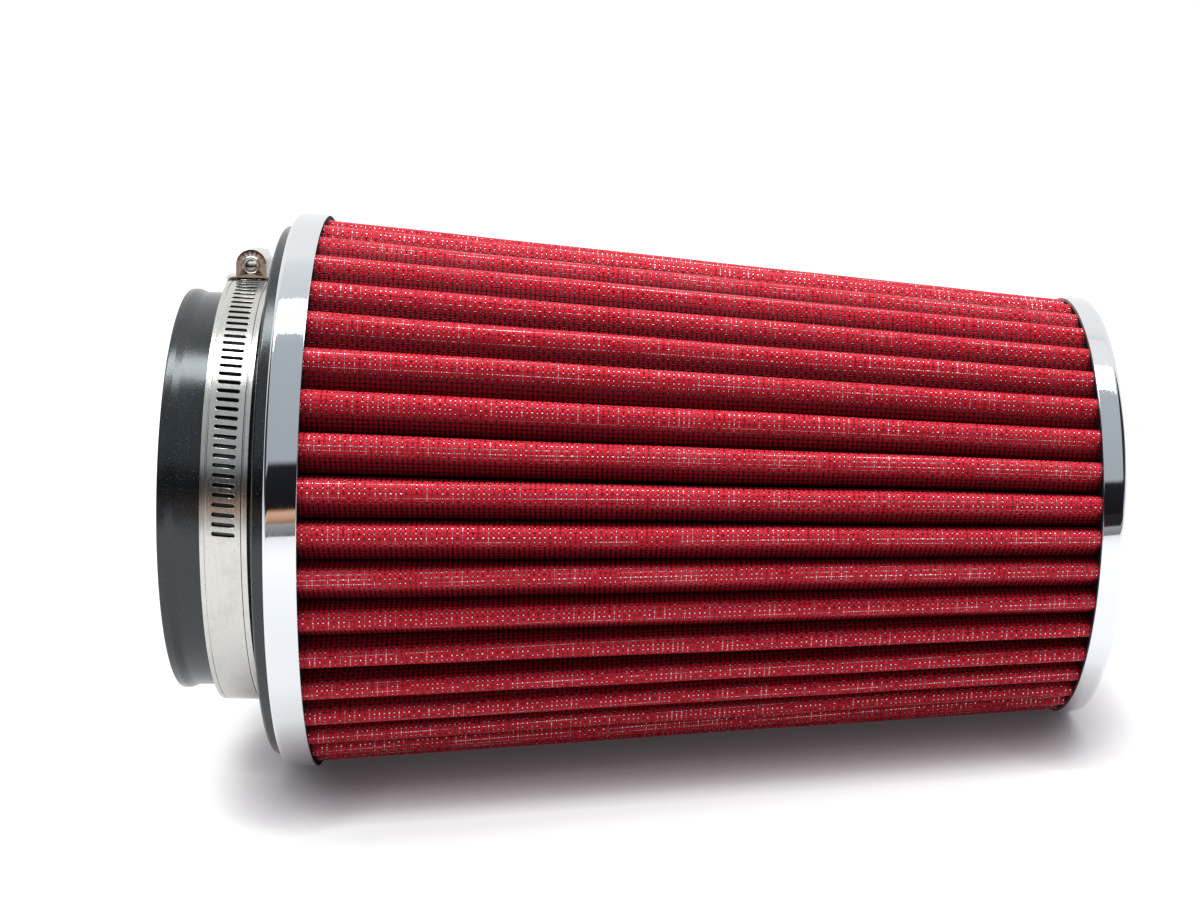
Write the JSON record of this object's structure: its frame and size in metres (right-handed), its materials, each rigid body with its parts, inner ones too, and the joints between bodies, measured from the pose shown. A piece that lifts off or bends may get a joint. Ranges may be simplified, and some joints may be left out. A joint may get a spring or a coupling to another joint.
{
  "type": "cone air filter",
  "caption": "Tapered pleated air filter with a rubber clamp-on neck, a chromed trim ring and a closed chromed end cap, for the open end of an engine's intake pipe.",
  "frame": {"origin": "centre of the neck's mouth, on the plane of its end face", "axes": "+Z along the filter's axis from the mouth of the neck to the end cap; the clamp's worm housing is on the -X side, with its screw head toward +Y"},
  "size_m": [0.1524, 0.1524, 0.247],
  "materials": {
    "black_urethane": "satin moulded black urethane",
    "chrome": "bright chrome plate",
    "red_media": "oiled red cotton gauze under a fine wire screen",
    "stainless": "satin stainless strip"
  },
  "bodies": {
    "filter": {"base_flange": "black_urethane", "base_trim_ring": "chrome", "pleated_media": "red_media", "tip_potting": "black_urethane", "end_cap": "chrome", "clamp_band": "stainless", "clamp_housing": "stainless"},
    "screw": {"clamp_screw": "stainless"}
  },
  "joints": [
    {"name": "clamp_screw_turn", "type": "hinge", "parent": "filter", "child": "screw", "pos_m": [-0.06179, -0.00868, 0.0175], "axis": [-0.1392, 0.9903, 0], "continuous": true}
  ]
}
